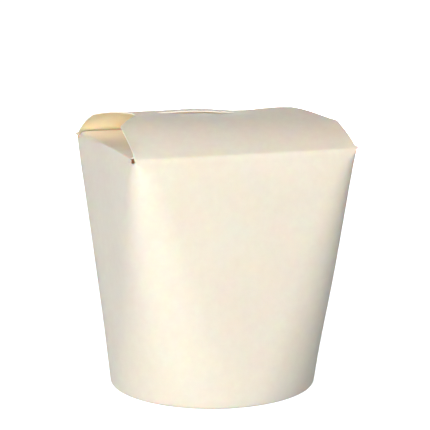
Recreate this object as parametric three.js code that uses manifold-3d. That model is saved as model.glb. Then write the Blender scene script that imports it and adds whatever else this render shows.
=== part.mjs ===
// A noodle takeaway box: a paperboard carton with a round foot and a rectangular mouth, shut by
// folding two side flaps flat and arching the front and rear flaps over them, the front one's
// tongue tucked into a slit in the rear one. A separate disc of board closes the foot.
//
// Millimetres, +Z up, +X to the right and +Y to the back. The origin is the centre of the round
// foot, on the surface that the box stands on.

import * as THREE from 'three';
import { ConvexGeometry } from 'three/addons/geometries/ConvexGeometry.js';
import { mergeVertices } from 'three/addons/utils/BufferGeometryUtils.js';
import Module from 'manifold-3d';

// ---- driving dimensions -----------------------------------------------------------------------

const WALL_HEIGHT = 105;       // foot to the four creases round the mouth
const MOUTH_WIDTH = 98;        // across the mouth's corners, left to right
const MOUTH_DEPTH = 84.2;      // across the mouth's corners, front to back
const FOOT_RADIUS = 44.6;      // outside of the round foot
const BOARD = 0.5;             // thickness of the paperboard
const CLEARANCE = 0.3;         // gap kept between the carton and the disc in its foot

const ROOF_RISE = 13.4;        // crown of the rear flap above the creases
const ARCH_POWER = 2.2;        // 2 is a parabola: a little more keeps the crown flat
const ARCH_STEPS = 28;         // straight pieces in each arched surface
const FOLD_INSET = 0.2;        // the flaps rise this far inside their creases

const FLAP_WIDTH = 95.3;       // front and rear flaps, a little narrower than the mouth
const FRONT_SHOULDER_Y = -23.3;   // where the front flap's straight sides end
const FRONT_NOSE_WIDTH = 69.8;    // its free edge, between the two slanting corners
const FRONT_NOSE_Y = -3.9;
const REAR_SHOULDER_Y = 17.6;     // where the rear flap's straight sides end
const REAR_NOSE_WIDTH = 66.6;     // its free edge, hidden under the front flap
const REAR_NOSE_Y = -9;

const TONGUE_WIDTH = 50.4;     // tongue on the front flap's free edge
const TONGUE_REACH = 12;       // how far it runs back under the rear flap
const TONGUE_DROP = 4.2;       // how far its tip hangs below the slit
const TONGUE_CORNER = 5;       // radius of its two corners
const SLIT_WIDTH = 52;
const SLIT_GAP = 1.1;          // opening behind the tongue

const SIDE_FLAP_MARGIN = 1;    // side flaps stop this far short of the front and rear creases
const SIDE_FLAP_OVERLAP_X = 4; // free edge of the left flap, which lies on the right one
const SIDE_FOLD_RADIUS = 0.9;  // soft fold along the side creases

const NOTCH_LENGTH = 4.2;      // three-cornered nick at each corner, along the side crease
const NOTCH_HEIGHT = 1.9;
const NOTCH_DEPTH = 1.6;

const HEM_WIDTH = 1.5;         // wall, skirt and turned-in hem, pressed together at the foot
const HEM_HEIGHT = 6.5;
const DISC_SEAT_RADIUS = FOOT_RADIUS - 0.8;

const ROUND_STEPS = 96;        // sides of the round foot
const CREAM = 0xf3ead8;
const INNER_CREAM = 0xeee0c2;

const PAST = 20;               // how far a cutting block runs past what it cuts

// ---- solids -----------------------------------------------------------------------------------

const wasm = await Module();
wasm.setup();

/** A closed three.js geometry as a solid that can be cut and joined. */
function solid(geometry) {
  const bare = geometry.index ? geometry.toNonIndexed() : geometry.clone();
  bare.deleteAttribute('normal');
  bare.deleteAttribute('uv');
  const merged = mergeVertices(bare, 1e-4);
  return new wasm.Manifold(new wasm.Mesh({
    numProp: 3,
    vertProperties: new Float32Array(merged.attributes.position.array),
    triVerts: new Uint32Array(merged.index.array),
  }));
}

/** A finished solid as a named mesh. */
function piece(name, body, material) {
  const mesh = body.getMesh();
  const geometry = new THREE.BufferGeometry();
  geometry.setAttribute('position', new THREE.BufferAttribute(mesh.vertProperties, 3));
  geometry.setIndex(new THREE.BufferAttribute(mesh.triVerts, 1));
  geometry.computeVertexNormals();
  const result = new THREE.Mesh(geometry, material);
  result.name = name;
  return result;
}

/** A shape drawn in plan (x, y), standing from one height to another. */
function upright(shape, low, high) {
  const settings = { depth: high - low, bevelEnabled: false };
  return new THREE.ExtrudeGeometry(shape, settings).translate(0, 0, low);
}

/** A shape drawn from the side (y, z), running from one x to another. */
function crosswise(shape, left, right) {
  const settings = { depth: right - left, bevelEnabled: false };
  const geometry = new THREE.ExtrudeGeometry(shape, settings);
  const toSide = new THREE.Matrix4().makeBasis(
    new THREE.Vector3(0, 1, 0), new THREE.Vector3(0, 0, 1), new THREE.Vector3(1, 0, 0));
  return geometry.applyMatrix4(toSide).translate(left, 0, 0);
}

/** A shape drawn from the front (x, z), running from one y to another. */
function lengthwise(shape, front, back) {
  const settings = { depth: back - front, bevelEnabled: false, curveSegments: 6 };
  const geometry = new THREE.ExtrudeGeometry(shape, settings);
  return geometry.rotateX(Math.PI / 2).translate(0, back, 0);
}

function polygon(points) {
  return new THREE.Shape(points.map(([a, b]) => new THREE.Vector2(a, b)));
}

// ---- the tapering body ------------------------------------------------------------------------

/** Square-to-round body: the hull of the foot's circle and the mouth's four corners, which is
 *  four flat triangles joined by four quarter cones that come to a point at the corners. */
function taperedBody() {
  const points = [];
  for (let step = 0; step < ROUND_STEPS; step += 1) {
    const angle = (2 * Math.PI * step) / ROUND_STEPS;
    points.push(new THREE.Vector3(FOOT_RADIUS * Math.cos(angle), FOOT_RADIUS * Math.sin(angle), 0));
  }
  for (const side of [-1, 1]) {
    for (const end of [-1, 1]) {
      points.push(new THREE.Vector3(side * MOUTH_WIDTH / 2, end * MOUTH_DEPTH / 2, WALL_HEIGHT));
    }
  }
  return solid(new ConvexGeometry(points));
}

/** Hollow under the foot, with a shallow groove above the hem that holds the disc. */
function footHollow() {
  const top = HEM_HEIGHT + 2 * CLEARANCE + BOARD;
  const profile = [
    [0, -PAST], [FOOT_RADIUS - HEM_WIDTH, -PAST], [FOOT_RADIUS - HEM_WIDTH, HEM_HEIGHT],
    [DISC_SEAT_RADIUS, HEM_HEIGHT], [DISC_SEAT_RADIUS, top], [0, top],
  ];
  return solid(new THREE.LatheGeometry(profile.map(([r, z]) => new THREE.Vector2(r, z)),
    ROUND_STEPS).rotateX(Math.PI / 2));
}

/** Three-cornered nick under the crease at one corner of the mouth. */
function cornerNotch(side, end) {
  const corner = MOUTH_DEPTH / 2;
  const outline = polygon([
    [end * corner, WALL_HEIGHT],
    [end * (corner - NOTCH_LENGTH), WALL_HEIGHT],
    [end * (corner - BOARD), WALL_HEIGHT - NOTCH_HEIGHT],
  ]);
  const inner = side * (MOUTH_WIDTH / 2 - NOTCH_DEPTH);
  const outer = side * (MOUTH_WIDTH / 2 + PAST);
  return solid(crosswise(outline, Math.min(inner, outer), Math.max(inner, outer)));
}

// ---- the roof ---------------------------------------------------------------------------------

/** Height of an arched flap's top face over the creases, for a given rise at the crown. */
function archHeight(y, rise) {
  return WALL_HEIGHT + rise * (1 - Math.abs((2 * y) / MOUTH_DEPTH) ** ARCH_POWER);
}

/** One board's thickness of arch between two values of y, as wide as the flap. */
function archedSheet(rise, start, end) {
  const top = [];
  const under = [];
  for (let step = 0; step <= ARCH_STEPS; step += 1) {
    const y = start + ((end - start) * step) / ARCH_STEPS;
    const z = archHeight(y, rise);
    top.push([y, z]);
    under.unshift([y, z - BOARD]);
  }
  return solid(crosswise(polygon([...top, ...under]), -FLAP_WIDTH / 2, FLAP_WIDTH / 2));
}

/** Plan of a flap: straight sides from its crease to the shoulders, then slanting corners. */
function flapPlan(creaseY, shoulderY, noseWidth, noseY) {
  const half = FLAP_WIDTH / 2;
  return polygon([
    [-half, creaseY], [half, creaseY], [half, shoulderY],
    [noseWidth / 2, noseY], [-noseWidth / 2, noseY], [-half, shoulderY],
  ]);
}

function cutToPlan(sheet, plan) {
  return sheet.intersect(solid(upright(plan, WALL_HEIGHT - PAST, WALL_HEIGHT + 2 * PAST)));
}

/** Rear flap: the under one, with the slit that takes the tongue. */
function rearFlap() {
  const crease = MOUTH_DEPTH / 2 - FOLD_INSET;
  const sheet = archedSheet(ROOF_RISE, REAR_NOSE_Y, crease);
  const flap = cutToPlan(sheet, flapPlan(crease, REAR_SHOULDER_Y, REAR_NOSE_WIDTH, REAR_NOSE_Y));
  const slit = polygon([
    [-SLIT_WIDTH / 2, FRONT_NOSE_Y], [SLIT_WIDTH / 2, FRONT_NOSE_Y],
    [SLIT_WIDTH / 2, FRONT_NOSE_Y + BOARD + SLIT_GAP],
    [-SLIT_WIDTH / 2, FRONT_NOSE_Y + BOARD + SLIT_GAP],
  ]);
  return flap.subtract(solid(upright(slit, WALL_HEIGHT, WALL_HEIGHT + 2 * PAST)));
}

/** Tongue: it leaves the front flap's free edge, drops through the slit and runs back. */
function tongue() {
  const crown = archHeight(FRONT_NOSE_Y, ROOF_RISE + BOARD);
  const drop = 2 * BOARD;
  const tip = FRONT_NOSE_Y + TONGUE_REACH;
  const bend = FRONT_NOSE_Y + BOARD;
  const side = polygon([
    [FRONT_NOSE_Y - BOARD, crown], [FRONT_NOSE_Y, crown], [bend, crown - BOARD],
    [bend + BOARD, crown - BOARD - drop], [tip, crown - TONGUE_DROP],
    [tip, crown - TONGUE_DROP - BOARD], [bend, crown - 2 * BOARD - drop],
    [FRONT_NOSE_Y - BOARD, crown - BOARD],
  ]);
  const half = TONGUE_WIDTH / 2;
  const plan = new THREE.Shape();
  plan.moveTo(-half, FRONT_NOSE_Y - BOARD);
  plan.lineTo(half, FRONT_NOSE_Y - BOARD);
  plan.lineTo(half, tip - TONGUE_CORNER);
  plan.absarc(half - TONGUE_CORNER, tip - TONGUE_CORNER, TONGUE_CORNER, 0, Math.PI / 2);
  plan.absarc(TONGUE_CORNER - half, tip - TONGUE_CORNER, TONGUE_CORNER, Math.PI / 2, Math.PI);
  plan.closePath();
  return solid(crosswise(side, -half, half)).intersect(
    solid(upright(plan, WALL_HEIGHT, WALL_HEIGHT + 2 * PAST)));
}

/** Front flap: the upper one, resting on the rear flap along the crown. */
function frontFlap() {
  const crease = FOLD_INSET - MOUTH_DEPTH / 2;
  const sheet = archedSheet(ROOF_RISE + BOARD, crease, FRONT_NOSE_Y);
  const plan = flapPlan(crease, FRONT_SHOULDER_Y, FRONT_NOSE_WIDTH, FRONT_NOSE_Y);
  return cutToPlan(sheet, plan).add(tongue());
}

/** Side flap folded flat over the mouth, from a soft fold at its crease to its free edge. */
function sideFlap(side, freeX, height) {
  const crease = side * (MOUTH_WIDTH / 2 - BOARD / 2);
  const fold = SIDE_FOLD_RADIUS;
  const outline = new THREE.Shape();
  outline.moveTo(freeX, WALL_HEIGHT - BOARD);
  outline.lineTo(freeX, WALL_HEIGHT + height);
  outline.lineTo(crease - side * 3 * fold, WALL_HEIGHT + height);
  outline.quadraticCurveTo(crease - side * fold / 2, WALL_HEIGHT + height, crease, WALL_HEIGHT);
  outline.lineTo(crease - side * fold, WALL_HEIGHT - BOARD);
  outline.closePath();
  const reach = MOUTH_DEPTH / 2 - SIDE_FLAP_MARGIN;
  return solid(lengthwise(outline, -reach, reach));
}

// ---- the nodes --------------------------------------------------------------------------------

function carton(material) {
  let body = taperedBody()
    .add(sideFlap(1, 0, BOARD))
    .add(sideFlap(-1, SIDE_FLAP_OVERLAP_X, 2 * BOARD));
  for (const side of [-1, 1]) {
    for (const end of [-1, 1]) {
      body = body.subtract(cornerNotch(side, end));
    }
  }
  body = body.subtract(footHollow()).add(rearFlap()).add(frontFlap());
  return piece('carton', body, material);
}

/** Disc of board that closes the foot, held above the hem. */
function baseDisc(material) {
  const radius = DISC_SEAT_RADIUS - CLEARANCE;
  const low = HEM_HEIGHT + CLEARANCE;
  const profile = [[0, low], [radius, low], [radius, low + BOARD], [0, low + BOARD]];
  const disc = new THREE.LatheGeometry(profile.map(([r, z]) => new THREE.Vector2(r, z)),
    ROUND_STEPS).rotateX(Math.PI / 2);
  return piece('base_disc', solid(disc), material);
}

const outerBoard = new THREE.MeshStandardMaterial({ color: CREAM, roughness: 0.6, metalness: 0 });
const innerBoard = new THREE.MeshStandardMaterial({
  color: INNER_CREAM, roughness: 0.7, metalness: 0,
});

const box = new THREE.Group();
box.name = 'noodle_box';
box.add(carton(outerBoard));
box.add(baseDisc(innerBoard));

export default box;
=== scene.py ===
"""A shut noodle takeaway box of cream paperboard, standing on a pale studio floor.

The carton is one blank of board, as the real one is: four wall panels that run from the turned-in
hem at the round foot up to the creases round the mouth and on into the four flaps. Each panel is
a few grids of points worked out by formula, and the grids are welded and given the board's
thickness. Sizes are in millimetres until a mesh is made, and +Z is up, +X right, +Y back.
"""

import math
from typing import NamedTuple

import bpy
import numpy as np
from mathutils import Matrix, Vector


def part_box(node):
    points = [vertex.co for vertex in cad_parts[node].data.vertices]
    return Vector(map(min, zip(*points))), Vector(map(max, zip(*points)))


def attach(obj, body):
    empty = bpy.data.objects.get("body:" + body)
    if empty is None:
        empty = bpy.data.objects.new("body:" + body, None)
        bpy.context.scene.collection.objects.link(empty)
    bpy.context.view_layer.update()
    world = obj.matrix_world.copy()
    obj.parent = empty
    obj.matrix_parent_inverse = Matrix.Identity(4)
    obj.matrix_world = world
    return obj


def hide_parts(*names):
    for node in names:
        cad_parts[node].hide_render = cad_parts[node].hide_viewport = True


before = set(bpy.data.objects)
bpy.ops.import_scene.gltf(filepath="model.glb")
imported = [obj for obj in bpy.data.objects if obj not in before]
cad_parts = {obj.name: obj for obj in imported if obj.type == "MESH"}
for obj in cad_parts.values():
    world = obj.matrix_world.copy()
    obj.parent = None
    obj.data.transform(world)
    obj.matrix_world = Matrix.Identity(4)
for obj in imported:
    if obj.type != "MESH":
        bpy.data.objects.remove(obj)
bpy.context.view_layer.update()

# ---- sizes ------------------------------------------------------------------------------------

MM = 0.001
ROOM = 0.1                            # the board's unevenness needs this much inside the solid
carton_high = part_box("carton")[1]

EAR_X = carton_high.x / MM - ROOM     # the ears that the long creases end in reach almost here
FOOT_RADIUS = carton_high.y / MM - ROOM
CROWN_HEIGHT = carton_high.z / MM - ROOM
DISC_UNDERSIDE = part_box("base_disc")[0].z / MM
LEEWAY = 1e-9                         # where two column numbers or shares are compared

BOARD = 0.45                          # thickness of the paperboard
WALL_HEIGHT = 105.0                   # foot to creases
MOUTH_X = EAR_X - 0.8                 # half of the mouth's width
MOUTH_Y = 42.1                        # half of its depth
CORNER_SIZE = 0.5                     # how sharply the wall turns at the mouth's corners
CORNER_DROP = 1.5                     # how far below the creases two panels part at a corner
SPRING_BACK = 8.5                     # how much rounder its corners are below the mouth
SPRING_BACK_REACH = 0.06              # it sets in within this share of the height below the mouth
FRONT_FULLNESS = 0.28                 # how much of it goes into a fuller front or back panel
SIDE_FULLNESS = 0.12                  # and into a fuller left or right one
SPIRAL_ROOM = 0.244                   # spirals need 1 / (1 - this) times the room of arcs
RIPPLE = 0.07                         # height of the waves in the wall

FLAP_HALF_WIDTH = 47.85               # front and rear flaps
FRONT_ARCH_POWER = 2.2                # 2 is a parabola: a little more flattens the crown
REAR_ARCH_POWER = 2.0
FRONT_SHOULDER = 23.1                 # distance from the middle at which the slant starts
FRONT_NOSE = 3.9                      # and at which the free edge lies
FRONT_NOSE_HALF_WIDTH = 34.2
FRONT_NOSE_SHIFT = 0.7                # its middle lies this far to the right
REAR_SHOULDER = 15.5
SLIT_LIFT = 0.2                       # the slit's far lip is pushed up this far by the tongue
ARCH_RISE = CROWN_HEIGHT - WALL_HEIGHT - SLIT_LIFT
SLIT_LIP_Y = -3.1                     # far lip of the slit that the tongue goes into
SLIT_NEAR_Y = -FRONT_NOSE
SLIT_HALF_WIDTH = 26.4                # its ends lie on the same columns as the tongue's sides
REAR_NOSE_Y = -9.0
REAR_SLANT = 0.65                     # how much narrower each side gets for each mm forward
TONGUE_HALF_WIDTH = 25.2
TONGUE_LENGTH = 12.5
TONGUE_CORNER = 5.0

SIDE_CREASE_HALF_LENGTH = 36.8        # the side flaps hang on this much of the side creases
SIDE_FLAP_HALF_WIDTH = 37.75          # behind the middle, where they are wider than that
SIDE_FLAP_LENGTH = 52.0
SIDE_CREASE_BOW = 1.05                # how far the side creases arch up in the middle
RIGHT_FLAP_REST = 0.7                 # the side flaps come to rest this far above the mouth
LEFT_FLAP_REST = 1.5                  # the left one lies on the right one

HEM_HEIGHT = 6.5
HEM_WIDTH = 1.5
FOLD_RADIUS = HEM_WIDTH / 2
DISC_GAP = 0.15                       # between the disc's turned-down rim and the wall's inside
DISC_BEND = 1.0                       # radius of the bend from disc to rim
DISC_RIM_HEIGHT = 5.0


def smoothstep(x):
    """0 below x = 0 and 1 above x = 1, with the cubic 3 x squared - 2 x cubed between them."""
    x = np.clip(x, 0.0, 1.0)
    return x * x * (3 - 2 * x)


def ramp(x, softness):
    """0 below zero and x above it, joined by a parabola from -softness to softness."""
    rounded = (np.clip(x, -softness, softness) + softness) ** 2 / (4 * softness)
    return np.where(x > softness, x, rounded)


# ---- the wall ---------------------------------------------------------------------------------

class Panel(NamedTuple):
    """One side of the box: half its length at the mouth, the mouth's distance from the axis, its
    two directions in plan, along the crease and outwards, and its share of the springing back."""
    half: float
    distance: float
    along: tuple
    out: tuple
    fullness: float


FRONT = Panel(MOUTH_X, MOUTH_Y, (1, 0), (0, -1), FRONT_FULLNESS)
RIGHT = Panel(MOUTH_Y, MOUTH_X, (0, 1), (1, 0), SIDE_FULLNESS)
BACK = Panel(MOUTH_X, MOUTH_Y, (-1, 0), (0, 1), FRONT_FULLNESS)
LEFT = Panel(MOUTH_Y, MOUTH_X, (0, -1), (-1, 0), SIDE_FULLNESS)


def points_of(x, y, z):
    """Points from arrays or numbers for their x, y and z."""
    return np.stack(np.broadcast_arrays(x, y, z), axis=-1)


def place(panel, along, out, z):
    """Points from a panel's own directions to the box's x, y and z."""
    x = along * panel.along[0] + out * panel.out[0]
    y = along * panel.along[1] + out * panel.out[1]
    return points_of(x, y, z)


def section(panel, z):
    """The wall's section at a height: the size of its corners, half its straight part, and how far
    the panel is from the axis. Straight lines from foot to mouth would give a cone at each corner,
    but bent board springs back: the corners are rounder than that and the panels fuller, most of
    all just below the mouth."""
    share = z / WALL_HEIGHT
    below = np.maximum(1 - share, 0)
    spread = SPRING_BACK * (1 - np.exp(-(below / SPRING_BACK_REACH) ** 1.5)) * share ** 1.5
    cone = FOOT_RADIUS + (CORNER_SIZE - FOOT_RADIUS) * share
    size = cone / (1 - SPIRAL_ROOM * spiral_share(z)) + spread
    neighbour_fullness = FRONT_FULLNESS + SIDE_FULLNESS - panel.fullness
    half = share * panel.half + (1 - share) * FOOT_RADIUS + neighbour_fullness * spread
    distance = share * panel.distance + (1 - share) * FOOT_RADIUS + panel.fullness * spread
    return size, half - size, distance


def spiral_share(z):
    """The section's corners are arcs at the foot and turn into spirals by half the height."""
    return smoothstep(z / (0.5 * WALL_HEIGHT))


def spiral(q):
    """Half a corner as a clothoid, whose curvature grows evenly from nothing, by its power series:
    how far it runs along the panel and how far it falls away from it, for a board length of 1,
    while q goes from 0 at the panel to 1 at 45 degrees."""
    k = math.pi / 4
    along = q - k ** 2 * q ** 5 / 10 + k ** 4 * q ** 9 / 216
    inward = k * q ** 3 / 3 - k ** 3 * q ** 7 / 42 + k ** 5 * q ** 11 / 1320
    return along, inward


SPIRAL_LENGTH = 1 / sum(spiral(1))    # board length of one that runs and falls by 1 in all


def turn_length(size, z):
    """Length of board in half a corner."""
    blend = spiral_share(z)
    return size * ((1 - blend) * math.pi / 4 + blend * SPIRAL_LENGTH)


def along_section(panel, column, z):
    """Where a column of the grid crosses the section. Columns -1 to 1 share out the straight part
    and those out to -2 and 2 the corner turns. Towards the foot, where the straight part runs
    out, all of them move over to an even spacing."""
    size, straight, _ = section(panel, z)
    turn = turn_length(size, z)
    on_edge = np.minimum(np.abs(column), 1)
    on_turn = np.maximum(np.abs(column) - 1, 0)
    by_part = on_edge * straight + on_turn * turn
    even = (0.78 * on_edge + 0.22 * on_turn) * (straight + turn)
    mix = smoothstep(z / (0.4 * WALL_HEIGHT))
    return np.sign(column) * (mix * by_part + (1 - mix) * even)


def ripple(point):
    """Slight unevenness of a pressed and folded board, outwards in mm: two slow waves round and
    up the wall that die out at the foot and at the creases."""
    angle = np.arctan2(point[..., 1], point[..., 0])
    z = point[..., 2]
    wave = np.sin(3 * angle + z / 23 + 0.6) + 0.7 * np.sin(5 * angle - z / 15 + 2.1)
    fade = smoothstep(z / 14) * smoothstep((WALL_HEIGHT - z) / 10)
    return RIPPLE * wave * fade


def ear_room(point):
    """How far the wall's top corners stand out sideways under the ears of the long creases: all
    the way in the corners, and fading out within a few mm down, forward and inward."""
    x, y, z = np.moveaxis(np.abs(point), -1, 0)
    up = smoothstep((z - (WALL_HEIGHT - 2.6)) / 1.8)
    return 0.4 * up * smoothstep((y - (MOUTH_Y - 2.5)) / 2) * smoothstep((x - (MOUTH_X - 4.1)) / 4)


def wall_point(panel, along, z, inward=0.0):
    """A panel of the square-to-round wall. The section at height z is a rounded rectangle, whose
    straight parts grow from nothing at the foot to the mouth's edges, while its corners shrink
    from the foot's circle to almost nothing."""
    size, straight, reach = section(panel, z)
    blend = spiral_share(z)
    q = np.clip((np.abs(along) - straight) / turn_length(size, z), 0, 1)
    spiral_run, spiral_fall = spiral(q)
    turn = math.pi / 4 * q
    runs = size * ((1 - blend) * np.sin(turn) + blend * SPIRAL_LENGTH * spiral_run)
    falls = size * ((1 - blend) * (1 - np.cos(turn)) + blend * SPIRAL_LENGTH * spiral_fall)
    turn = turn * (1 - blend + blend * q)
    side = np.sign(along)
    sideways = side * (np.minimum(np.abs(along), straight) + runs - inward * np.sin(turn))
    point = place(panel, sideways, reach - falls - inward * np.cos(turn), z)
    bulge = ripple(point)
    point = point + bulge[..., None] * place(panel, side * np.sin(turn), np.cos(turn), 0 * z)
    return point + points_of(np.sign(point[..., 0]) * ear_room(point), 0, 0)


def column_numbers(stops, counts, turns=8):
    """Column numbers of a panel: so many evenly spaced between each two stops on the straight
    part, then those of the turn, and all of them again mirrored."""
    parts = [np.linspace(a, b, n, endpoint=False) for a, b, n in zip(stops, stops[1:], counts)]
    half = np.concatenate([*parts, np.linspace(1, 2, turns + 1)])
    return np.concatenate([-half[:0:-1], half])


def hem_and_wall(panel, columns, top):
    """Grid of a panel from the hem's cut edge, down inside the foot, round the fold and up the
    outside to the top height of each column."""
    hem = np.linspace(HEM_HEIGHT, FOLD_RADIUS, 6, endpoint=False)
    bend = np.linspace(0, math.pi, 9)
    shares = np.concatenate([
        np.linspace(0, 0.05, 6)[1:], np.linspace(0.05, 0.93, 42)[1:], np.linspace(0.93, 1, 10)[1:],
    ])
    flat = np.ones_like(top)
    z = np.concatenate([
        hem[:, None] * flat,
        (FOLD_RADIUS * (1 - np.sin(bend)))[:, None] * flat,
        FOLD_RADIUS + shares[:, None] * (top - FOLD_RADIUS),
    ])
    inward = np.concatenate([
        np.full(len(hem), HEM_WIDTH),
        FOLD_RADIUS * (1 + np.cos(bend)),
        np.zeros(len(shares)),
    ])[:, None]
    return wall_point(panel, along_section(panel, columns, z), z, inward)


def bend_between(start, corner, end, steps=7):
    """Rounded crease: a quadratic curve for each column from the wall's last point to the flap's
    first, which leaves both of them straight towards the crease's corner."""
    q = np.linspace(0, 1, steps)[:, None, None]
    return (1 - q) ** 2 * start + 2 * q * (1 - q) * corner + q ** 2 * end


# ---- the roof: front and rear flaps -----------------------------------------------------------

FOLD_REACH = 0.55                     # the long creases are rounded this far to each side
CREASE_OVERHANG = 0.5                 # and head this far beyond the flap's sides at their ends
TONGUE_SHARE = TONGUE_HALF_WIDTH / FRONT_NOSE_HALF_WIDTH
LONG_HINGE = 1.3                      # column at which the long creases end, within the turns
STRAIGHT_SHARE = 0.98                 # this much of a flap's width hangs on the straight part
LONG_COLUMNS = column_numbers((0, TONGUE_SHARE / STRAIGHT_SHARE, 1), (24, 10))
HINGED = np.abs(LONG_COLUMNS) <= LONG_HINGE
FLAP_SHARES = np.interp(
    LONG_COLUMNS[HINGED], [-LONG_HINGE, -1, 1, LONG_HINGE], [-1, -STRAIGHT_SHARE, STRAIGHT_SHARE, 1])


def arch(y, power):
    """Height of the arched roof: a power curve from crease to crease with its crown at y = 0."""
    return WALL_HEIGHT + ARCH_RISE * (1 - np.abs(y / MOUTH_Y) ** power)


def spring(y):
    """How far a flap rises above the arch just behind its crease, up to 1 at 4 mm from it."""
    way = np.maximum(MOUTH_Y - np.abs(y), 0) / 4
    return way * np.exp(1 - way)


def front_surface(x, y):
    """Top of the front flap: the arch, higher on the left than on the right, whose side edges
    spring up just behind the crease and whose right shoulder curls up a little, drawn down at
    the free edge where the tongue pulls on it."""
    way = np.maximum(MOUTH_Y - np.abs(y), 0) / (MOUTH_Y - FRONT_NOSE)
    side = x / FLAP_HALF_WIDTH
    twist = -0.92 * side * np.minimum(2 * way, 1) * (1 - smoothstep((way - 0.58) / 0.42))
    pull = 0.62 * np.maximum(1 - ((x + 6) / 26) ** 2, 0) + np.exp(-((x - 4.5) / 9) ** 2)
    pull = pull - 0.25 * np.exp(-((x - 29) / 6) ** 2)
    near_nose = np.exp(-((np.abs(y) - FRONT_NOSE) / 8) ** 2)
    sprung = (0.65 - 0.25 * np.sign(side)) * spring(y) * side ** 16
    curl = 0.45 * np.exp(-((np.abs(y) - FRONT_SHOULDER) / 3) ** 2) * np.maximum(side, 0) ** 16
    return arch(y, FRONT_ARCH_POWER) + 0.1 * way + sprung + curl + twist - pull * near_nose


def rear_surface(x, y):
    """Top of the rear flap: the arch, higher at its left edge and lower on the right, with a low
    ridge behind the slit, lifted along the slit's far lip and pressed down under the front flap."""
    lower_right = 1.4 * smoothstep((x + 8) / 22) * (1 - (y / MOUTH_Y) ** 2)
    higher_left = 0.3 * smoothstep((-x - 33) / 8) * smoothstep((20 - y) / 12)
    right_end = 0.7 * smoothstep((x - 22) / 10) * smoothstep((24 - y) / 20)
    lift = SLIT_LIFT * (1 - smoothstep((x + 12) / 7)) * np.exp(-(y - SLIT_LIP_Y) / 4)
    lift = lift * np.maximum(1 - (x / SLIT_HALF_WIDTH) ** 6, 0)
    ridge = 0.3 * np.exp(-((y - 7) / 5) ** 2 - ((x + 1) / 13) ** 2)
    free = arch(y, REAR_ARCH_POWER) + 0.3 * spring(y) + ridge
    free = free - lower_right + higher_left - right_end
    free = free + np.where(y >= SLIT_LIP_Y, lift, 0)
    # under the front flap ahead of the slit, and on both sides of the tongue behind it
    pressed = front_surface(x, np.minimum(y, -FRONT_NOSE)) - BOARD - 0.12
    ahead = smoothstep((-1.8 - y) / (FRONT_NOSE - 1.8))
    outside = np.where(y < SLIT_LIP_Y - 0.01, 1, smoothstep((np.abs(x) - 24) / 3))
    return free - ahead * outside * np.maximum(free - pressed, 0)


def ear(y):
    """How far a flap's sides stand out beyond their straight edges, next to the crease only."""
    return (EAR_X - 0.1 - FLAP_HALF_WIDTH) * (1 - smoothstep((MOUTH_Y - np.abs(y) - 0.9) / 0.6))


def front_x(shares, y):
    """Across the front flap, which narrows from its shoulders to its free edge. Only its right
    side has an ear."""
    way = ramp(FRONT_SHOULDER - np.abs(y), 0.3) / (FRONT_SHOULDER - FRONT_NOSE)
    narrowing = (FLAP_HALF_WIDTH - FRONT_NOSE_HALF_WIDTH) * way
    half_width = FLAP_HALF_WIDTH + ear(y) * (shares > 0) - narrowing
    return shares * half_width + FRONT_NOSE_SHIFT * way


def rear_half_width(y):
    """Half the rear flap's width: it narrows evenly from its shoulders to its free edge."""
    return FLAP_HALF_WIDTH + ear(y) - REAR_SLANT * ramp(REAR_SHOULDER - y, 1.0)


def long_crease(panel, wall_end, flap_start):
    """Crease between a front or back panel and its flap, a little wider than the flap's first row."""
    along = flap_start[:, 0] * panel.along[0] + CREASE_OVERHANG * FLAP_SHARES
    corner = place(panel, along, panel.distance, WALL_HEIGHT)
    return bend_between(wall_end, corner, flap_start)


def flap_rows(count):
    """Shares of the way from a flap's first row to its last, closer together at the start."""
    even = np.linspace(0, 1, count)
    return even - 0.8 * even * np.exp(-even / 0.06)


def front_flap():
    """Front flap: rows from the crease to the free edge, whose corners are rounded, each as wide
    as the flap's outline is there."""
    start = FOLD_REACH - MOUTH_Y
    corner = np.clip((np.abs(FLAP_SHARES) - 0.92) / 0.08, 0, 1)
    nose = -FRONT_NOSE - 1.6 * (1 - np.sqrt(1 - 0.99 * corner ** 2))
    shoulder_share = (start + FRONT_SHOULDER) / (start + FRONT_NOSE)
    shares = np.interp(flap_rows(45), [0, 0.5, 1], [0, shoulder_share, 1])
    y = start + shares[:, None] * (nose - start)
    x = front_x(FLAP_SHARES, y)
    return points_of(x, y, front_surface(x, y))


def tongue():
    """Tongue: it bends down over the free edge, drops through the slit and runs back under the
    rear flap, its tip rounded off at both corners."""
    path = np.concatenate([np.linspace(0, 2, 11), np.linspace(2, TONGUE_LENGTH, 16)[1:]])[:, None]
    to_tip = np.clip((path - (TONGUE_LENGTH - TONGUE_CORNER)) / TONGUE_CORNER, 0, 1)
    rounding = TONGUE_CORNER * (1 - np.sqrt(1 - 0.999 * to_tip ** 2))
    half_width = TONGUE_HALF_WIDTH - 0.6 * smoothstep(path / 1.5) - rounding
    shares = FLAP_SHARES[np.abs(FLAP_SHARES) <= TONGUE_SHARE + LEEWAY]
    x = shares / TONGUE_SHARE * half_width + FRONT_NOSE_SHIFT
    y = -FRONT_NOSE + path * (0.3 + 0.7 * smoothstep(path / 3))
    brink = front_surface(x, 0 * y - FRONT_NOSE)
    beneath = rear_surface(x, np.maximum(y, SLIT_LIP_Y)) - BOARD - 0.4 - 0.1 * path
    z = brink + smoothstep(path / 1.8) * (np.minimum(beneath, brink) - brink)
    return points_of(x, y, z)


def rear_flap_part(shares, start, end, rows):
    """Part of the rear flap between two values of y, as wide as its outline is there."""
    y = (start + flap_rows(rows) * (end - start))[:, None]
    x = -shares * rear_half_width(y)
    return points_of(x, y, rear_surface(x, y))


# ---- the side flaps ---------------------------------------------------------------------------

SIDE_HINGE = 0.93                     # column at which the side crease ends
SIDE_COLUMNS = column_numbers((0, SIDE_HINGE, 1), (30, 14))


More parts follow.
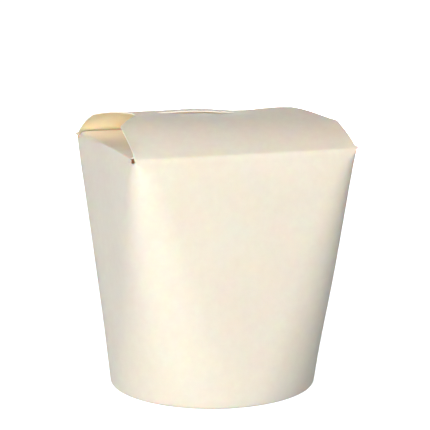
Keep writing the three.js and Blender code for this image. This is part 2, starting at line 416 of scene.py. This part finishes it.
def side_fold_reach(panel, along):
    """The side folds are crisp, but softer over their back half, in mm to each side."""
    back = along * panel.along[1] / SIDE_CREASE_HALF_LENGTH
    return 0.45 + 1.2 * smoothstep((back + 0.1) / 0.5) * (1 - back ** 4)


def side_crease_height(panel, along):
    """The side creases arch up, a little more towards the back."""
    back = along * panel.along[1] / SIDE_CREASE_HALF_LENGTH
    return WALL_HEIGHT + SIDE_CREASE_BOW * (1 - back ** 2) * (1 + 0.45 * back)


def side_surface(panel, along, path, rest):
    """Top of a side flap: from the bowed crease it settles to a flat height within a few mm, and
    within a shorter way at its back edge."""
    back = np.clip(along * panel.along[1] / SIDE_CREASE_HALF_LENGTH, 0, 1)
    settle = np.exp(-path / (5 - 4.2 * back))
    return side_crease_height(panel, along) * settle + (WALL_HEIGHT + rest) * (1 - settle)


def side_flap(panel, columns, rest):
    """Side flap folded in over the mouth: rows away from the crease, a little wider than it at
    the back."""
    share = columns / SIDE_HINGE
    rows = np.concatenate([np.linspace(0, 5, 9), np.linspace(5, SIDE_FLAP_LENGTH, 30)[1:]])[:, None]
    reach = side_fold_reach(panel, share * SIDE_CREASE_HALF_LENGTH)
    path = reach + rows * (SIDE_FLAP_LENGTH - reach) / SIDE_FLAP_LENGTH
    widening = (SIDE_FLAP_HALF_WIDTH - SIDE_CREASE_HALF_LENGTH) * (share * panel.along[1] > 0)
    along = share * (SIDE_CREASE_HALF_LENGTH + widening * smoothstep(path - reach))
    z = side_surface(panel, along, path, rest)
    return place(panel, along, panel.distance - path, z)


# ---- putting the blank together ---------------------------------------------------------------

def corner_notch(along):
    """How far the wall's top edge lies below the mouth between the side crease's end and the
    corner: it is cut down steeply beyond the crease, which leaves a small gap."""
    beyond = (np.abs(along) - SIDE_CREASE_HALF_LENGTH) / (MOUTH_Y - SIDE_CREASE_HALF_LENGTH)
    return 0.4 + (CORNER_DROP - 0.4) * smoothstep(beyond / 0.12)


def wall_top(panel, columns):
    """Top height of each column: just under the crease where a flap hangs on, with a notch
    beyond the crease's ends."""
    size = np.abs(columns)
    if panel.half == MOUTH_X:
        beyond = np.maximum(size - LONG_HINGE, 0) / (2 - LONG_HINGE)
        return WALL_HEIGHT - FOLD_REACH - (CORNER_DROP - FOLD_REACH) * beyond
    along = columns / SIDE_HINGE * SIDE_CREASE_HALF_LENGTH
    attached = side_crease_height(panel, along) - side_fold_reach(panel, along)
    reach = np.interp(size, [SIDE_HINGE, 1, 2], [SIDE_CREASE_HALF_LENGTH, MOUTH_Y - 0.6, MOUTH_Y])
    return np.where(size <= SIDE_HINGE + LEEWAY, attached, WALL_HEIGHT - corner_notch(reach))


def long_panel(panel, flap_start):
    """Wall of the front or back with its crease, up to the first row of the flap."""
    wall = hem_and_wall(panel, LONG_COLUMNS, wall_top(panel, LONG_COLUMNS))
    return [wall, long_crease(panel, wall[-1, HINGED], flap_start)]


def front_panel():
    """Front wall and front flap with its tongue."""
    flap = front_flap()
    return [*long_panel(FRONT, flap[0]), flap, tongue()]


def back_panel():
    """Back wall and rear flap, which the slit divides into the part behind it, the part ahead of
    it and a bridge at each of its ends."""
    behind = rear_flap_part(FLAP_SHARES, MOUTH_Y - FOLD_REACH, SLIT_LIP_Y, 46)
    ahead = rear_flap_part(FLAP_SHARES, SLIT_NEAR_Y, REAR_NOSE_Y, 7)
    bridges = [
        rear_flap_part(FLAP_SHARES[ends], SLIT_LIP_Y, SLIT_NEAR_Y, 3)
        for ends in (FLAP_SHARES <= LEEWAY - TONGUE_SHARE, FLAP_SHARES >= TONGUE_SHARE - LEEWAY)]
    return [*long_panel(BACK, behind[0]), behind, ahead, *bridges]


def side_panel(panel, rest):
    """Wall of one side with its crease and its flap."""
    wall = hem_and_wall(panel, SIDE_COLUMNS, wall_top(panel, SIDE_COLUMNS))
    hinged = np.abs(SIDE_COLUMNS) <= SIDE_HINGE + LEEWAY
    along = SIDE_COLUMNS[hinged] / SIDE_HINGE * SIDE_CREASE_HALF_LENGTH
    flap = side_flap(panel, SIDE_COLUMNS[hinged], rest)
    corner = place(panel, along, panel.distance, side_crease_height(panel, along))
    return [wall, bend_between(wall[-1, hinged], corner, flap[0]), flap]


def grid_faces(rows, columns, first):
    """Quads of a grid whose points are numbered row by row from first."""
    index = first + np.arange(rows * columns).reshape(rows, columns)
    return np.stack([index[:-1, :-1], index[:-1, 1:], index[1:, 1:], index[1:, :-1]],
                    axis=-1).reshape(-1, 4)


def weld(grids, grain=1e-3):
    """All grids as one list of points and quads, with points that fall on the same grain of
    space made one."""
    points = np.concatenate([grid.reshape(-1, 3) for grid in grids])
    firsts = np.cumsum([0] + [grid.shape[0] * grid.shape[1] for grid in grids])
    quads = np.concatenate([
        grid_faces(grid.shape[0], grid.shape[1], first) for grid, first in zip(grids, firsts)])
    _, kept, number = np.unique(
        np.round(points / grain).astype(np.int64), axis=0, return_index=True, return_inverse=True)
    return points[kept], number.reshape(-1)[quads]


def point_normals(points, quads):
    """Mean direction of the faces round each point, weighted by their area."""
    across = points[quads[:, 2]] - points[quads[:, 0]]
    other = points[quads[:, 3]] - points[quads[:, 1]]
    facing = np.cross(across, other)
    normals = np.zeros_like(points)
    for corner in range(4):
        np.add.at(normals, quads[:, corner], facing)
    return normals / np.maximum(np.linalg.norm(normals, axis=1, keepdims=True), 1e-12)


def thicken(points, quads, thickness):
    """A closed board from its outer face: the same face again, a thickness further in and turned
    round, with a cut edge along every open border. Gives points, quads and which of the three
    each quad is: 0 outer face, 1 inner face, 2 cut edge."""
    count = len(points)
    inner = points - thickness * point_normals(points, quads)
    edges = np.stack([quads, np.roll(quads, -1, axis=1)], axis=-1).reshape(-1, 2)
    keys = np.sort(edges, axis=1)
    _, number, times = np.unique(keys, axis=0, return_inverse=True, return_counts=True)
    border = edges[times[number.reshape(-1)] == 1]
    rim = np.stack([border[:, 1], border[:, 0], border[:, 0] + count, border[:, 1] + count], axis=1)
    faces = np.concatenate([quads, quads[:, ::-1] + count, rim])
    kind = np.repeat([0, 1, 2], [len(quads), len(quads), len(rim)])
    return np.concatenate([points, inner]), faces, kind


SHARP_FROM = 38                       # degrees between two faces from which their edge is sharp


def mesh_object(name, points, faces, kind, materials):
    """A mesh object from points in mm, with the material that each face's kind names."""
    mesh = bpy.data.meshes.new(name)
    mesh.from_pydata((points * MM).tolist(), [], faces.tolist())
    for material in materials:
        mesh.materials.append(material)
    mesh.polygons.foreach_set("material_index", kind.astype(np.int32))
    mesh.polygons.foreach_set("use_smooth", np.ones(len(kind), bool))
    mesh.set_sharp_from_angle(angle=math.radians(SHARP_FROM))
    mesh.update()
    piece = bpy.data.objects.new(name, mesh)
    bpy.context.scene.collection.objects.link(piece)
    return piece


# ---- materials --------------------------------------------------------------------------------

def linear(code):
    """An sRGB hex colour as linear RGBA."""
    parts = [int(code[i:i + 2], 16) / 255 for i in (1, 3, 5)]
    return (*[c / 12.92 if c <= 0.04045 else ((c + 0.055) / 1.055) ** 2.4 for c in parts], 1.0)


def add(tree, kind, inputs=None, **settings):
    """Adds a node: settings are its properties, inputs its sockets' values or the outputs that
    are linked to them. A Mix node's sockets 2 and 3 are its numbers, and 6 and 7 its colours."""
    node = tree.nodes.new(kind)
    for key, value in settings.items():
        setattr(node, key, value)
    for key, value in (inputs or {}).items():
        if isinstance(value, bpy.types.NodeSocket):
            tree.links.new(value, node.inputs[key])
        else:
            node.inputs[key].default_value = value
    return node


def new_material(name):
    """A material and its node tree, still empty."""
    material = bpy.data.materials.new(name)
    material.use_nodes = True
    tree = material.node_tree
    tree.nodes.clear()
    return material, tree


def paperboard(name, light, dark, roughness, depth, painted_glow):
    """Bleached paperboard pressed smooth and coated with a thin film of polyethylene: a soft
    satin sheen over a faintly cloudy, faintly fibrous sheet. Light goes into it to a depth in
    mm. The last argument sets a warm painted glow: emission on the surface that stands in for
    light coming through the board and bouncing about under the roof, though the board gives no light."""
    material, tree = new_material(name)
    place_on = add(tree, "ShaderNodeTexCoord").outputs["Object"]
    # formation of the sheet: clouds of fibre about 4 mm across, and broad ones of 35 mm
    cloud = add(tree, "ShaderNodeTexNoise", {
        "Vector": place_on, "Scale": 1 / (4 * MM), "Detail": 4.0, "Roughness": 0.6})
    broad = add(tree, "ShaderNodeTexNoise", {
        "Vector": place_on, "Scale": 1 / (35 * MM), "Detail": 1.0})
    both = add(tree, "ShaderNodeMix", {
        "Factor": 0.45, 2: cloud.outputs["Fac"], 3: broad.outputs["Fac"]})
    tone = add(tree, "ShaderNodeMapRange", {
        "Value": both.outputs[0], "From Min": 0.35, "From Max": 0.65})
    colour = add(tree, "ShaderNodeMix", {
        "Factor": tone.outputs["Result"], 6: linear(dark), 7: linear(light)}, data_type="RGBA")
    # fibres that press through the film, drawn at 0.7 mm, coarser than real ones, to show
    fibre = add(tree, "ShaderNodeTexNoise", {
        "Vector": place_on, "Scale": 1 / (0.7 * MM), "Detail": 3.0, "Roughness": 0.7})
    relief = add(tree, "ShaderNodeMath", {
        0: fibre.outputs["Fac"], 1: cloud.outputs["Fac"]}, operation="ADD")
    bump = add(tree, "ShaderNodeBump", {
        "Strength": 0.35, "Distance": 0.03 * MM, "Height": relief.outputs[0]})
    rough = add(tree, "ShaderNodeMapRange", {
        "Value": fibre.outputs["Fac"], "To Min": roughness - 0.05, "To Max": roughness + 0.08})
    shader = add(tree, "ShaderNodeBsdfPrincipled", {
        "Base Color": colour.outputs[2],
        "Roughness": rough.outputs["Result"],
        "Normal": bump.outputs["Normal"],
        "IOR": 1.5,
        "Specular IOR Level": 0.35,
        "Subsurface Weight": 1.0,
        "Subsurface Radius": (1.0, 0.6, 0.3),
        "Subsurface Scale": depth * MM,
        # painted glow: a warm emission in place of light that comes through the board and bounces
        # under the roof
        "Emission Color": linear("#FADDBC"),
        "Emission Strength": painted_glow,
    })
    add(tree, "ShaderNodeOutputMaterial", {"Surface": shader.outputs["BSDF"]})
    return material


def cut_edge():
    """Die-cut edge of the board: its raw white core of fibre, dull and without the film."""
    material, tree = new_material("die_cut_board_edge")
    place_on = add(tree, "ShaderNodeTexCoord").outputs["Object"]
    fibre = add(tree, "ShaderNodeTexNoise", {
        "Vector": place_on, "Scale": 1 / (0.5 * MM), "Detail": 2.0})
    colour = add(tree, "ShaderNodeMix", {
        "Factor": fibre.outputs["Fac"], 6: linear("#F6EBDA"), 7: linear("#FFFAF0")},
        data_type="RGBA")
    shader = add(tree, "ShaderNodeBsdfPrincipled", {
        "Base Color": colour.outputs[2], "Roughness": 0.9, "Specular IOR Level": 0.2})
    add(tree, "ShaderNodeOutputMaterial", {"Surface": shader.outputs["BSDF"]})
    return material


BOARD_MATERIALS = [
    paperboard(
        "coated_paperboard_outside", "#F5EBDC", "#F1E6D6", roughness=0.48, depth=0.5, painted_glow=0),
    paperboard(
        "coated_paperboard_inside", "#FFF1D6", "#FCEBCC", roughness=0.42, depth=0.6, painted_glow=0),
    cut_edge(),
    # the roof's undersides get a painted glow: a warm emission standing in for light that comes
    # through the board and bounces under the roof
    paperboard(
        "coated_paperboard_under_roof_painted_glow", "#FFF1D6", "#FCEBCC", roughness=0.42, depth=0.6,
        painted_glow=0.105),
]
# kind number of the faces with the painted glow
PAINTED_GLOW_KIND = 3


# ---- the pieces -------------------------------------------------------------------------------

def painted_glow_faces(points, faces, kind):
    """Which faces take the painted glow: the undersides of the front and rear flaps, inner faces
    that lie above the side flaps, or between their edges and the long creases."""
    centre = points[faces].mean(axis=1)
    beside = np.abs(centre[:, 1]) > SIDE_FLAP_HALF_WIDTH + 0.1
    above = centre[:, 2] > WALL_HEIGHT + np.where(beside, 0, LEFT_FLAP_REST + 0.3)
    return (kind == 1) & above


def make_carton():
    """The whole blank: its four panels joined at the corners and given the board's thickness."""
    right = side_panel(RIGHT, RIGHT_FLAP_REST)
    left = side_panel(LEFT, LEFT_FLAP_REST)
    blank = weld([*front_panel(), *right, *back_panel(), *left])
    points, faces, kind = thicken(*blank, BOARD)
    # the undersides of the roof take the material with the painted glow
    kind[painted_glow_faces(points, faces, kind)] = PAINTED_GLOW_KIND
    piece = mesh_object("carton_board", points, faces, kind, BOARD_MATERIALS)
    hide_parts("carton")
    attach(piece, "root")
    return piece


def make_base_disc():
    """Disc that closes the foot, with its rim turned down between the wall and the hem. A square
    grid is drawn out to rings: a point's larger coordinate picks its place on the profile from
    the middle over the bend and down the rim, and the other its angle."""
    skirt = FOOT_RADIUS - 2 * BOARD - DISC_GAP
    bend = np.linspace(0, math.pi / 2, 7)[1:]
    flat = np.linspace(0, skirt - DISC_BEND, 22)
    rim_z = np.linspace(-DISC_BEND, -DISC_RIM_HEIGHT, 3)[1:]
    radius = np.concatenate([flat, skirt - DISC_BEND * (1 - np.sin(bend)), [skirt, skirt]])
    z = np.concatenate([0 * flat, DISC_BEND * (np.cos(bend) - 1), rim_z]) + DISC_UNDERSIDE
    rings = np.arange(len(radius))
    steps = np.concatenate([-rings[:0:-1], rings]).astype(float)
    u, v = np.meshgrid(steps, -steps)
    larger = np.where(np.abs(u) > np.abs(v), u, v)
    other = np.where(np.abs(u) > np.abs(v), v, u)
    turn = math.pi / 4 * other / np.where(larger == 0, 1, larger)
    angle = np.where(np.abs(u) > np.abs(v), turn, math.pi / 2 - turn)
    angle = angle + np.where(larger < 0, math.pi, 0)
    ring = np.abs(larger).astype(int)
    points = points_of(radius[ring] * np.cos(angle), radius[ring] * np.sin(angle), z[ring])
    welded, quads = weld([points])
    piece = mesh_object("foot_disc_board", *thicken(welded, quads, BOARD), BOARD_MATERIALS[:3])
    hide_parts("base_disc")
    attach(piece, "root")
    return piece


make_carton()
make_base_disc()

# ---- the studio -------------------------------------------------------------------------------

FRAME_PIXELS = 430
SENSOR_WIDTH = 36.0
FOCAL_PIXELS = 1503.1                 # focal length in pixels of the frame
CAMERA_AZIMUTH = math.radians(-20.45)
CAMERA_ELEVATION = math.radians(10.75)
CAMERA_DISTANCE = 0.6467
AIM_HEIGHT = 0.0728
AIM_RIGHT = 0.00125
FLOOR_RADIUS = 8.0                    # in metres, as all of the studio
FLOOR_SIDES = 64
BACKDROP_HEIGHT = 5.0
SOFTBOX_DISTANCE = 1.2
SOFTBOX_SIZE = 0.6


def direction(azimuth, elevation):
    """Unit vector away from the box: azimuth 0 is its front and 90 degrees its right."""
    return Vector((
        math.sin(azimuth) * math.cos(elevation),
        -math.cos(azimuth) * math.cos(elevation),
        math.sin(elevation)))


def make_camera():
    """Camera in front of the box and to its left, a little above its roof."""
    back = direction(CAMERA_AZIMUTH, CAMERA_ELEVATION)
    right = Vector((math.cos(CAMERA_AZIMUTH), math.sin(CAMERA_AZIMUTH), 0))
    aim = Vector((0, 0, AIM_HEIGHT)) + AIM_RIGHT * right
    data = bpy.data.cameras.new("camera")
    data.sensor_width = SENSOR_WIDTH
    data.lens = FOCAL_PIXELS / FRAME_PIXELS * SENSOR_WIDTH
    camera = bpy.data.objects.new("camera", data)
    camera.location = aim + CAMERA_DISTANCE * back
    camera.rotation_euler = back.to_track_quat("Z", "Y").to_euler()
    bpy.context.scene.collection.objects.link(camera)
    bpy.context.scene.camera = camera


def ring_at(height):
    """Points spaced evenly round the floor's edge, at a height."""
    angle = np.linspace(0, 2 * math.pi, FLOOR_SIDES, endpoint=False)
    return points_of(FLOOR_RADIUS * np.cos(angle), FLOOR_RADIUS * np.sin(angle), height)


def make_floor():
    """Wide white floor, with light of its own so that it stays pale in every view. The box shows
    faint reflections of it but isn't lit by it."""
    mesh = bpy.data.meshes.new("floor")
    mesh.from_pydata(ring_at(0).tolist(), [], [list(range(FLOOR_SIDES))])
    material, tree = new_material("white_floor_paper")
    grain = add(tree, "ShaderNodeTexNoise", {
        "Vector": add(tree, "ShaderNodeTexCoord").outputs["Object"], "Scale": 2.0})
    tone = add(tree, "ShaderNodeMix", {
        "Factor": grain.outputs["Fac"], 6: linear("#F7F7F6"), 7: linear("#FCFCFB")},
        data_type="RGBA")
    shader = add(tree, "ShaderNodeBsdfPrincipled", {
        "Base Color": tone.outputs[2], "Roughness": 0.9, "Specular IOR Level": 0.1,
        "Emission Color": linear("#FFFFFF"), "Emission Strength": 1.0})
    add(tree, "ShaderNodeOutputMaterial", {"Surface": shader.outputs["BSDF"]})
    mesh.materials.append(material)
    floor = bpy.data.objects.new("floor", mesh)
    floor.visible_diffuse = False
    bpy.context.scene.collection.objects.link(floor)
    return material


def make_backdrop(material):
    """White wall round the floor's edge. It is only there to be seen past the box in low views:
    it lights nothing and shades nothing."""
    points = np.concatenate([ring_at(0), ring_at(BACKDROP_HEIGHT)])
    number = np.arange(FLOOR_SIDES)
    after = np.roll(number, -1)
    faces = np.stack([after, number, number + FLOOR_SIDES, after + FLOOR_SIDES], axis=1)
    mesh = bpy.data.meshes.new("backdrop")
    mesh.from_pydata(points.tolist(), [], faces.tolist())
    mesh.materials.append(material)
    backdrop = bpy.data.objects.new("backdrop", mesh)
    backdrop.visible_diffuse = False
    backdrop.visible_glossy = False
    backdrop.visible_transmission = False
    backdrop.visible_shadow = False
    bpy.context.scene.collection.objects.link(backdrop)


def softbox(name, azimuth, elevation, power):
    """Square soft light that points at the middle of the box from a direction in degrees."""
    towards = direction(math.radians(azimuth), math.radians(elevation))
    data = bpy.data.lights.new(name, "AREA")
    data.size = SOFTBOX_SIZE
    data.energy = power
    light = bpy.data.objects.new(name, data)
    light.location = Vector((0, 0, WALL_HEIGHT * MM / 2)) + SOFTBOX_DISTANCE * towards
    light.rotation_euler = towards.to_track_quat("Z", "Y").to_euler()
    bpy.context.scene.collection.objects.link(light)
    return light


def make_lights():
    """Soft light from the front and left, weaker from the right, and two lights behind the box.
    The low one of them lights its back only and shows in no highlight."""
    softbox("front_softbox", -25, 10, 10.2)
    softbox("front_high_softbox", -25, 20, 3.6)
    softbox("front_left_softbox", -42, 18, 1.6)
    softbox("left_softbox", -76, 32, 4.15)
    softbox("right_softbox", 80, 10, 1.0)
    softbox("rear_softbox", 150, 12, 3.0)
    softbox("rear_low_softbox", 160, 4, 11.0).visible_glossy = False
    world = bpy.data.worlds.new("studio")
    world.use_nodes = True
    background = world.node_tree.nodes["Background"]
    background.inputs["Color"].default_value = linear("#FFFFFF")
    background.inputs["Strength"].default_value = 0.06
    bpy.context.scene.world = world
    bpy.context.scene.view_settings.view_transform = "Standard"
    bpy.context.scene.view_settings.look = "None"


make_camera()
make_backdrop(make_floor())
make_lights()
